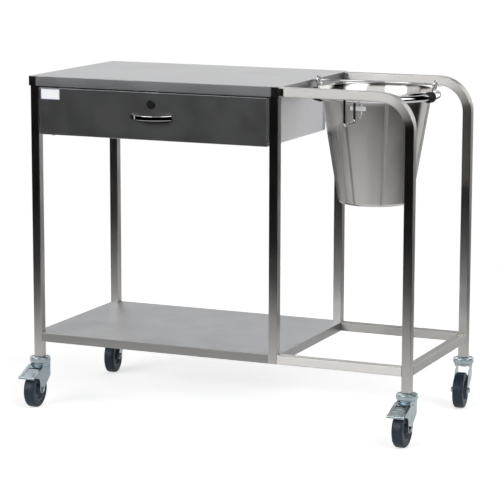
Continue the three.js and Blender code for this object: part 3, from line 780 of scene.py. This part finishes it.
def build_handle():
    """Crescent bow: a flat bar on an arc whose ends come back to the drawer's face."""
    low, high = lo("drawer_handle"), hi("drawer_handle")
    middle = (low.x + high.x) / 2
    foot = lo("drawer_front").y - 0.3 * MM
    half = (high.x - low.x) / 2 - 1.5 * MM
    reach = foot - low.y - HANDLE_THICK / 2
    radius = (half * half + reach * reach) / (2 * reach)
    spread = math.degrees(math.asin(half / radius))
    centre_y = foot - reach + radius
    tall = high.z - low.z
    z = (low.z + high.z) / 2
    bm = bmesh.new()
    route = [Vector((x, y, z)) for x, y in arc(middle, centre_y, radius, 270 - spread, 270 + spread, 48)]
    sweep(bm, rounded_rect(tall, HANDLE_THICK, 2.3 * MM, 6), route, Z)
    new_piece("bow_handle", bm, CHROME, "drawer", "drawer_handle", slot="chrome")


def build_lock():
    centre = Vector(JOINTS["lock_turn"]["pos_m"])
    centre.y = lo("drawer_front").y
    place = Matrix.Translation(centre) @ FORWARD
    bezel = (hi("lock_barrel").x - lo("lock_barrel").x) / 2
    plug = (hi("lock_plug").x - lo("lock_plug").x) / 2
    proud = centre.y - lo("lock_barrel").y
    bore = plug + 0.25 * MM
    barrel = [(bore, -10 * MM), (10 * MM, -10 * MM), (10 * MM, 0.3 * MM), (bezel, 0.3 * MM)]
    barrel += [(bezel, proud - 1.4 * MM), (bezel - 0.5 * MM, proud - 0.5 * MM), (bezel - 1.5 * MM, proud)]
    barrel += [(bore + 1 * MM, proud), (bore, proud - 0.8 * MM)]
    bm = lathe(bmesh.new(), barrel, place, 64)
    new_piece("lock_bezel", bm, LOCK_BLACK, "drawer", "lock_barrel", slot="lock_black")
    face = centre.y - lo("lock_plug").y
    core = [(0, -10 * MM), (plug, -10 * MM), (plug, face - 0.5 * MM), (plug - 0.6 * MM, face), (0, face)]
    bm = lathe(bmesh.new(), core, place, 48)
    new_piece("lock_core", bm, LOCK_BLACK, "lock", "lock_plug", slot="lock_black")


def build_drawer_label():
    """A blank white plate with a thin printed edge."""
    bm = bmesh.new()
    block(bm, lo("drawer_label"), hi("drawer_label"))
    soften(bm, 0.2 * MM, 2)
    face = min(bm.faces, key=lambda f: f.calc_center_median().y)
    edge = bmesh.ops.inset_individual(bm, faces=[face], thickness=1.8 * MM)["faces"]
    for ring_face in edge:
        ring_face.material_index = 1
    piece = new_piece("drawer_plate", bm, LABEL_WHITE, "drawer", "drawer_label", slot="blank_label", sharp=50)
    piece.data.materials.append(LABEL_EDGE)


def build_drawer():
    build_drawer_front()
    build_handle()
    build_lock()
    build_drawer_label()


# ------------------------------ ring, brackets and bucket
SLEEVE_ROD = 14.6 * MM
SLEEVES = {"left": (187, 228), "right": (-15, -6)}  # angles round the ring, degrees
RIB_PITCH, RIB_DEPTH = 8 * MM, 1.8 * MM
BRACKET_ROD = 3.9 * MM
BRACKET_CORNER = 9 * MM
BEAD_RADIUS = 158 * MM
BEAD_ROD = 3.5 * MM
BEAD_Z = hi("bucket").z - BEAD_ROD
BUCKET_WALL = 1.2 * MM
EAR_ROD = 2.5 * MM
EAR_PLATE_TOP = 921 * MM


def ring_route(start, end, steps):
    return [Vector((x, y, BUCKET.z)) for x, y in arc(BUCKET.x, BUCKET.y, RING_RADIUS, start, end, steps)]


def build_ring():
    bm = bmesh.new()
    sweep(bm, circle(RING_ROD, 24), ring_route(0, 360 * 127 / 128, 127), Z, closed=True)
    new_piece("ring_rod", bm, CHROME, "frame", "bucket_ring", slot="chrome", sharp=60)
    for side, (start, end) in SLEEVES.items():
        build_sleeve(side, start, end)


def build_sleeve(side, start, end):
    """Ribbed hose on the ring. The ribs run round it, and the bucket's bead presses its inner top."""
    length = RING_RADIUS * math.radians(end - start)
    ribs = max(3, round(length / RIB_PITCH))
    steps = ribs * 8
    route = ring_route(start, end, steps)
    bm = bmesh.new()
    section = circle(1.0, 28)
    rings = []
    for i, point in enumerate(route):
        out = (point - BUCKET).normalized()
        rib = math.sin(math.pi * ribs * i / steps) ** 2
        size = SLEEVE_ROD - RIB_DEPTH + RIB_DEPTH * rib
        if i in (0, steps):
            size = RING_ROD + 0.2 * MM
        ring = []
        for a, b in section:
            offset = out * (a * size) + Z * (b * size)
            ring.append(bm.verts.new(clear_of_bead(point + offset)))
        rings.append(ring)
    skin(bm, rings)
    node = f"ring_sleeve_{side}"
    new_piece(f"ring_hose_{side}", bm, SLEEVE_RUBBER, "frame", node, slot="black_rubber", sharp=70)


def clear_of_bead(point):
    """Moves a point of the sleeve out of the bucket's bead."""
    radial = math.hypot(point.x - BUCKET.x, point.y - BUCKET.y)
    away = Vector((radial - BEAD_RADIUS, point.z - BEAD_Z))
    clearance = BEAD_ROD + 0.3 * MM
    if away.length >= clearance:
        return point
    away = away.normalized() * clearance
    scale = (BEAD_RADIUS + away.x) / radial
    flat = Vector((point.x - BUCKET.x, point.y - BUCKET.y, 0)) * scale
    return Vector((BUCKET.x + flat.x, BUCKET.y + flat.y, BEAD_Z + away.y))


def build_brackets():
    for side, mirror in (("front", 1), ("rear", -1)):
        node = f"ring_bracket_{side}"
        low, high = lo(node), hi(node)
        x = (low.x + high.x) / 2
        outer = low.y + BRACKET_ROD if mirror > 0 else high.y - BRACKET_ROD
        inner = high.y - BRACKET_ROD if mirror > 0 else low.y + BRACKET_ROD
        bottom = low.z + BRACKET_ROD
        c = BRACKET_CORNER
        route = [(outer, high.z)]
        bend = arc(0, 0, c, 180, 270, 10)
        route += [(outer + mirror * (c + a), bottom + c + b) for a, b in bend]
        bend = arc(0, 0, c, 270, 360, 10)
        route += [(inner - mirror * (c - a), bottom + c + b) for a, b in bend]
        route.append((inner, BUCKET.z - RING_ROD - 0.2 * MM))
        bm = sweep(bmesh.new(), circle(BRACKET_ROD, 20), [Vector((x, y, z)) for y, z in route], X)
        new_piece(f"bracket_rod_{side}", bm, WIRE, "frame", node, slot="chrome", sharp=60)


def build_bucket():
    """Spun bucket: a flat base with a rounded heel, a straight cone and a rolled bead."""
    base = lo("bucket").z
    radius = 101.5 * MM
    heel = 9 * MM
    neck, neck_z = 150 * MM, base + 298 * MM
    wall = BUCKET_WALL
    dish = base + 1.2 * MM
    outer = [(0, dish), (radius - 22 * MM, dish), (radius - 18 * MM, base)]
    outer += arc(radius - heel, base + heel, heel, -90, -8, 8)
    foot = base + heel
    cone = [(radius + (neck - radius) * i / 12, foot + (neck_z - foot) * i / 12) for i in range(1, 13)]
    outer += cone
    bead = arc(BEAD_RADIUS, BEAD_Z, BEAD_ROD, -125, 165, 22)
    inner = [(neck - wall, neck_z + 1 * MM)]
    inner += [(r - wall, z) for r, z in reversed(cone[:-1])]
    inner += arc(radius - heel, base + heel, heel - wall, -8, -90, 8)
    inner.append((0, dish + wall))
    place = Matrix.Translation((BUCKET.x, BUCKET.y, 0))
    bm = lathe(bmesh.new(), outer + bead + inner, place, 128)
    new_piece("bucket_shell", bm, BUCKET_STEEL, "bucket", "bucket", slot="bucket_steel", sharp=50)


def build_ears():
    """Pressed plate on the bead with an upright wire loop, which the bail turns in."""
    for side, sign in (("left", -1), ("right", 1)):
        node = f"bucket_ear_{side}"
        low, high = lo(node), hi(node)
        loop_x = (low.x + EAR_ROD) if sign < 0 else (high.x - EAR_ROD)
        half_w = 9.5 * MM
        half_h = high.z - PIVOT.z - EAR_ROD
        route = []
        for i in range(48):
            a = TAU * i / 48
            route.append(Vector((loop_x, PIVOT.y + half_w * math.cos(a), PIVOT.z + half_h * math.sin(a))))
        bm = sweep(bmesh.new(), circle(EAR_ROD, 16), route, X, closed=True)
        new_piece(f"ear_loop_{side}", bm, CHROME, "bucket", slot="chrome", sharp=60)
        inside = BUCKET.x + sign * (BEAD_RADIUS + BEAD_ROD + 0.3 * MM)
        outside = loop_x - sign * (EAR_ROD - 0.8 * MM)
        left, right = min(inside, outside), max(inside, outside)
        bm = bmesh.new()
        block(bm, Vector((left, low.y, low.z)), Vector((right, high.y, EAR_PLATE_TOP)))
        soften(bm, 1.2 * MM, 3)
        brush(bm, Z)
        new_piece(f"ear_plate_{side}", bm, CHROME, "bucket", node, slot="chrome", sharp=50)


BAIL_ROD = 3 * MM
BAIL_DROP = math.radians(5)


def build_bail():
    """Wire bow from ear to ear, drawn flat and laid back by its drop."""
    side = (hi("bucket_bail").x - lo("bucket_bail").x) / 2 - BAIL_ROD
    reach = 164.5 * MM
    stub = 161 * MM
    bend = 2 * MM
    corner = (0.4, 0.8, 1.2)  # angles on the small bend at each end, radians
    flat = [(-stub, 0), (-side + bend, 0)]
    flat += [(-side + bend - bend * math.sin(a), bend - bend * math.cos(a)) for a in corner]
    for i in range(1, 72):
        a = math.pi - math.pi * i / 72
        flat.append((side * math.cos(a), max(bend, reach * math.sin(a))))
    flat += [(side - bend + bend * math.sin(a), bend - bend * math.cos(a)) for a in reversed(corner)]
    flat += [(side - bend, 0), (stub, 0)]
    place = Matrix.Translation(PIVOT) @ Matrix.Rotation(-BAIL_DROP, 4, "X")
    route = [place @ Vector((x, y, 0)) for x, y in flat]
    plane = place.to_3x3() @ Z
    bm = sweep(bmesh.new(), circle(BAIL_ROD, 20), route, plane)
    button = mm([(0, -1.5), (3.4, -1.5), (4.2, -0.7), (4.2, 0.7), (3.4, 1.5), (0, 1.5)])
    for x in (-stub, stub):
        lathe(bm, button, crosswise(place, (x, 0, 0)), 24)
    new_piece("bail_wire", bm, CHROME, "bail", "bucket_bail", slot="chrome", sharp=60)


# ------------------------------ castors
TRAIL = 36 * MM
WHEEL_RADIUS = 50 * MM
AXLE = (0, -TRAIL, WHEEL_RADIUS)  # its middle, in the castor's own axes
PEDAL_PIN = (0, -20 * MM, 112 * MM)
PEDAL_THICK = 2.2  # millimetres
HEAD_TOP = hi("castor_fork_front_left").z
FORK_INNER = 18 * MM
FORK_PLATE = 3 * MM


def castor_place(name):
    """The castor's own axes: origin on the floor under its swivel, X along its axle."""
    pivot = Vector(JOINTS[f"swivel_{name}"]["pos_m"])
    axle = Vector(JOINTS[f"roll_{name}"]["axis"])
    pivot.z = 0
    return basis(axle, Z.cross(axle), Z, pivot)


def castor_stem(name, place):
    """A plug in the leg, its collar, and a bolt through the castor's head."""
    profile = [(0, 195), (9, 195), (10.4, 192), (10.4, 141), (15, 139.7), (16, 139.2), (16, 138),
               (5.7, 138), (5.7, 115.4), (9, 115.4), (9, 111), (0, 111)]
    bm = lathe(bmesh.new(), mm(profile), place, 48)
    new_piece(f"stem_{name}", bm, ZINC, "frame", f"castor_stem_{name}", slot="zinc", sharp=40)


def fork_outline(brake):
    """One fork plate in Y and Z: down behind, round the axle and up in front."""
    points = [(22, 119), (22, 80)]
    points += arc(-TRAIL / MM, 50, 10, 300, 190, 12)
    if brake:
        points += [(-45, 70), (-50, 80), (-60, 86), (-60, 89), (-44, 98), (-26, 107), (-26, 119)]
    else:
        points += [(-17, 106), (-14, 112), (-14, 119)]
    return mm(points)


def castor_fork(name, place, brake):
    """The turned head with its two races, and the two plates that hold the wheel."""
    body = f"castor_{name}"
    z = HEAD_TOP / MM
    head = [(6.2, 116), (25, 116), (26, 117), (26, 121), (27.6, 122.2), (28.7, 123.2), (29, 124.4),
            (29, 133.6), (28.4, 135.2), (27, 136), (24.2, 136.3), (23.4, 135.6), (22.6, 136.3),
            (18, z - 0.2), (16.6, z), (6.2, z)]
    bm = lathe(bmesh.new(), mm(head), place, 72)
    new_piece(f"castor_head_{name}", bm, ZINC, body, slot="zinc", sharp=30)
    bm = bmesh.new()
    outline = fork_outline(brake)
    outer = FORK_INNER + FORK_PLATE
    for start in (-outer, FORK_INNER):
        side_plate(bm, outline, FORK_PLATE, place, start)
    block(bm, Vector((-outer, -14 * MM, 116 * MM)), Vector((outer, 22 * MM, 119 * MM)), place)
    soften(bm, 0.7 * MM, 2)
    brush(bm, Z)
    new_piece(f"fork_plates_{name}", bm, ZINC, body, f"castor_fork_{name}", slot="zinc", sharp=35)


def castor_axle(name, place):
    """A rod with a washer and a nut at each end."""
    spot = crosswise(place, AXLE)
    face = FORK_INNER + FORK_PLATE
    rod, end = 3.9 * MM, 27 * MM
    bm = lathe(bmesh.new(), [(0, -end), (rod, -end), (rod, end), (0, end)], spot, 24)
    washer, seat = 9 * MM, face + 0.9 * MM
    for turn in (0, math.pi):
        outward = spot @ Matrix.Rotation(turn, 4, "X")
        lathe(bm, [(0, face), (washer, face), (washer, seat), (0, seat)], outward, 36)
        hexagon(bm, 7.5 * MM, seat, seat + 5 * MM, outward)
    new_piece(f"axle_bolt_{name}", bm, ZINC, f"castor_{name}", f"castor_axle_{name}", slot="zinc", sharp=30)


def castor_wheel(name, place):
    """A rounded tyre on a dished hub."""
    body = f"wheel_{name}"
    spot = crosswise(place, AXLE)
    half = 15  # millimetres
    tread = [(35, -half + 2), (36.5, -half + 0.3), (38, -half)]
    tread += arc(43, -half + 7, 7, 270, 360, 10)
    tread += arc(43, half - 7, 7, 0, 90, 10)
    tread += [(38, half), (36.5, half - 0.3), (35, half - 2)]
    bm = lathe(bmesh.new(), mm(tread), spot, 96)
    new_piece(f"tyre_{name}", bm, TYRE_RUBBER, body, f"castor_tyre_{name}", slot="tyre_rubber", sharp=50)
    side = [(34.7, half - 2.6), (34.2, half - 1.4), (33, half - 1), (29.5, half - 1.4), (28, half - 2.4)]
    side += [(26, 7.5), (24, 6.4), (15, 6), (13, 6.8), (12.2, 9)]
    side += [(11.4, half + 1.2), (10.4, half + 2), (5, half + 2)]
    profile = side + [(r, -x) for r, x in reversed(side)]
    bm = lathe(bmesh.new(), mm(profile), spot, 96)
    new_piece(f"hub_{name}", bm, HUB_PLASTIC, body, f"castor_hub_{name}", slot="hub_plastic", sharp=40)


def tread_outline(top):
    """A pedal sheet in Y and Z, from its upper side in millimetres."""
    lip = -92
    under = [(y + 0.6, z - PEDAL_THICK) if y > lip else (y + PEDAL_THICK, z) for y, z in reversed(top)]
    return mm(top + under)


def castor_pedal(name, place):
    """Pressed pedal: a tread that slopes forward, a lip, two cheeks and a window pressed in."""
    half, window, cheek = 24.5 * MM, 15 * MM, 2 * MM
    pressed = [(-27, 117.4), (-44, 111.6), (-45.5, 109.6), (-64, 102.8), (-66, 104), (-84, 97),
               (-92, 96.2), (-94.4, 95), (-95, 92.5), (-95, 89.5)]
    flat = pressed[:1] + pressed[5:]
    bm = bmesh.new()
    side_plate(bm, tread_outline(pressed), 2 * window, place, -window)
    for start in (-half, window):
        side_plate(bm, tread_outline(flat), half - window, place, start)
    outline = mm([(-27, 117), (-84, 96.6), (-84, 91), (-60, 86), (-38, 98), (-17, 106), (-14, 110),
                  (-16, 115.2), (-25, 116.4)])
    for start in (-half, half - cheek):
        side_plate(bm, outline, cheek, place, start)
    block(bm, Vector((-9 * MM, -58 * MM, 103.4 * MM)), Vector((9 * MM, -46 * MM, 106 * MM)), place)
    soften(bm, 0.6 * MM, 2)
    brush(bm, Y)
    new_piece(f"pedal_{name}", bm, ZINC, f"pedal_{name}", f"brake_pedal_{name}", slot="zinc", sharp=35)
    pin = mm([(0, -26), (1.4, -26), (2, -25.4), (2, 25.4), (1.4, 26), (0, 26)])
    bm = lathe(bmesh.new(), pin, crosswise(place, PEDAL_PIN), 24)
    new_piece(f"pin_{name}", bm, ZINC, f"castor_{name}", f"brake_pin_{name}", slot="zinc")


def build_castors():
    for name in ("front_left", "front_right", "rear_left", "rear_right"):
        place = castor_place(name)
        brake = f"brake_{name}" in JOINTS
        castor_stem(name, place)
        castor_fork(name, place, brake)
        castor_axle(name, place)
        castor_wheel(name, place)
        if brake:
            castor_pedal(name, place)


# ------------------------------ studio
FLOOR_WASH = 0.55  # light that the exposure adds to the floor, up to white
FLOOR_CONTRAST = 0.9  # how strongly the camera sees the floor's shadow
FLOOR_GLOW = 0.17  # light of the floor near the trolley, in the steel's reflections
GLOW_FADE = (0.8, 1.9)  # distances on the floor over which its glow fades, metres
PAPER_FADE = (1.2, 2.3)  # the same for the paper in reflections
SEEN_FADE = (1.5, 2.6)  # the same for the paper that the camera sees
FLOOR_HALF = 6.0


def lit_paper(nodes, colour, glow):
    """White paper with some light of its own."""
    paper = nodes.add("ShaderNodeBsdfDiffuse")
    paper.inputs["Color"].default_value = (colour, colour, colour, 1)
    light = nodes.add("ShaderNodeEmission")
    nodes.value(light.inputs["Strength"], glow)
    both = nodes.add("ShaderNodeAddShader")
    nodes.join(paper.outputs[0], both.inputs[0])
    nodes.join(light.outputs[0], both.inputs[1])
    return both.outputs[0]


def mix_shader(nodes, factor, first, second):
    mix = nodes.add("ShaderNodeMixShader")
    for source, target in zip((factor, first, second), mix.inputs):
        nodes.join(source, target)
    return mix.outputs[0]


def build_floor():
    """A white floor that fades out, so that it meets the white background without an edge."""
    bm = bmesh.new()
    bmesh.ops.create_grid(bm, x_segments=4, y_segments=4, size=FLOOR_HALF)
    mesh = bpy.data.meshes.new("floor")
    bm.to_mesh(mesh)
    bm.free()
    floor = bpy.data.objects.new("floor", mesh)
    floor.location = (0, 0, -0.2 * MM)
    bpy.context.scene.collection.objects.link(floor)
    material = bpy.data.materials.new("floor")
    material.use_nodes = True
    nodes = Nodes(material.node_tree)
    place = nodes.place()
    distance = nodes.add("ShaderNodeVectorMath", operation="LENGTH")
    nodes.join(place, distance.inputs[0])
    seen = nodes.add("ShaderNodeLightPath").outputs["Is Camera Ray"]
    glow = nodes.ramp(distance.outputs["Value"], *GLOW_FADE, FLOOR_GLOW, 0.0)
    paper = lit_paper(nodes, 0.9, glow)
    washed = lit_paper(nodes, FLOOR_CONTRAST, FLOOR_WASH)
    shown = mix_shader(nodes, seen, paper, washed)
    clear = nodes.add("ShaderNodeBsdfTransparent")
    near = nodes.ramp(distance.outputs["Value"], *PAPER_FADE, 0.0, 1.0)
    fade = nodes.mix(seen, near, nodes.ramp(distance.outputs["Value"], *SEEN_FADE, 0.0, 1.0))
    faded = mix_shader(nodes, fade, shown, clear.outputs[0])
    output = nodes.add("ShaderNodeOutputMaterial")
    nodes.join(faded, output.inputs["Surface"])
    mesh.materials.append(material)


# Lights of the studio as seen from the trolley: where each starts and ends, in degrees of azimuth
# (0 behind it, 90 to its right) and of elevation, and how bright it is.
SOFTBOXES = {
    "paper left": (-92, -46, -8, 14, 1.1),
    "paper middle": (-46, 0, -8, 14, 0.3),
    "paper right": (0, 44, -8, 14, 1.7),
    "floor behind right": (0, 45, -35, -8, 0.52),
    "wall behind": (-46, 44, 14, 36, 1.3),
    "ceiling behind": (-46, 0, 36, 62, 0.9),
    "side box": (88, 139, 12, 62, 2.3),
    "front box, right": (139, 190, 12, 36, 1.3),
    "front box, left": (-190, -131, 12, 36, 4.6),
    "left box": (-131, -92, 12, 36, 0.9),
}
EDGE = 5  # half the width of a softbox's faded edge, degrees
BACKGROUND = 1.02  # what the camera sees behind the trolley, just over white


def build_world():
    """The softboxes light a dark room. The camera alone sees plain white behind the trolley."""
    world = bpy.data.worlds.new("studio")
    world.use_nodes = True
    bpy.context.scene.world = world
    nodes = Nodes(world.node_tree)
    direction = nodes.add("ShaderNodeTexCoord").outputs["Generated"]
    split = nodes.add("ShaderNodeSeparateXYZ")
    nodes.join(direction, split.inputs[0])
    azimuth = nodes.math("DEGREES", nodes.math("ARCTAN2", split.outputs["X"], split.outputs["Y"]))
    elevation = nodes.math("DEGREES", nodes.math("ARCSINE", split.outputs["Z"]))
    level = 0.0
    for left, right, low, high, strength in SOFTBOXES.values():
        across = between(nodes, azimuth, left, right)
        window = nodes.math("MULTIPLY", across, between(nodes, elevation, low, high))
        level = nodes.math("MAXIMUM", level, nodes.math("MULTIPLY", window, strength))
    white = nodes.math("MULTIPLY", nodes.add("ShaderNodeLightPath").outputs["Is Camera Ray"], BACKGROUND)
    level = nodes.math("MAXIMUM", level, white)
    background = nodes.add("ShaderNodeBackground")
    background.inputs["Color"].default_value = (1, 1, 1, 1)
    nodes.join(level, background.inputs["Strength"])
    output = nodes.add("ShaderNodeOutputWorld")
    nodes.join(background.outputs[0], output.inputs["Surface"])


def between(nodes, value, low, high):
    """1 between two angles and 0 outside them, faded at both ends."""
    rise = nodes.ramp(value, low - EDGE, low + EDGE, 0.0, 1.0)
    fall = nodes.ramp(value, high - EDGE, high + EDGE, 1.0, 0.0)
    return nodes.math("MULTIPLY", rise, fall)


def set_view():
    """Shows colours as they are, without a film look."""
    view = bpy.context.scene.view_settings
    view.view_transform = "Standard"
    view.look = "None"


# ------------------------------ the whole scene
add_camera()
build_frame()
build_sheets()
build_drawer()
build_ring()
build_brackets()
build_bucket()
build_ears()
build_bail()
build_castors()
keep_nodes()
build_floor()
build_world()
set_view()
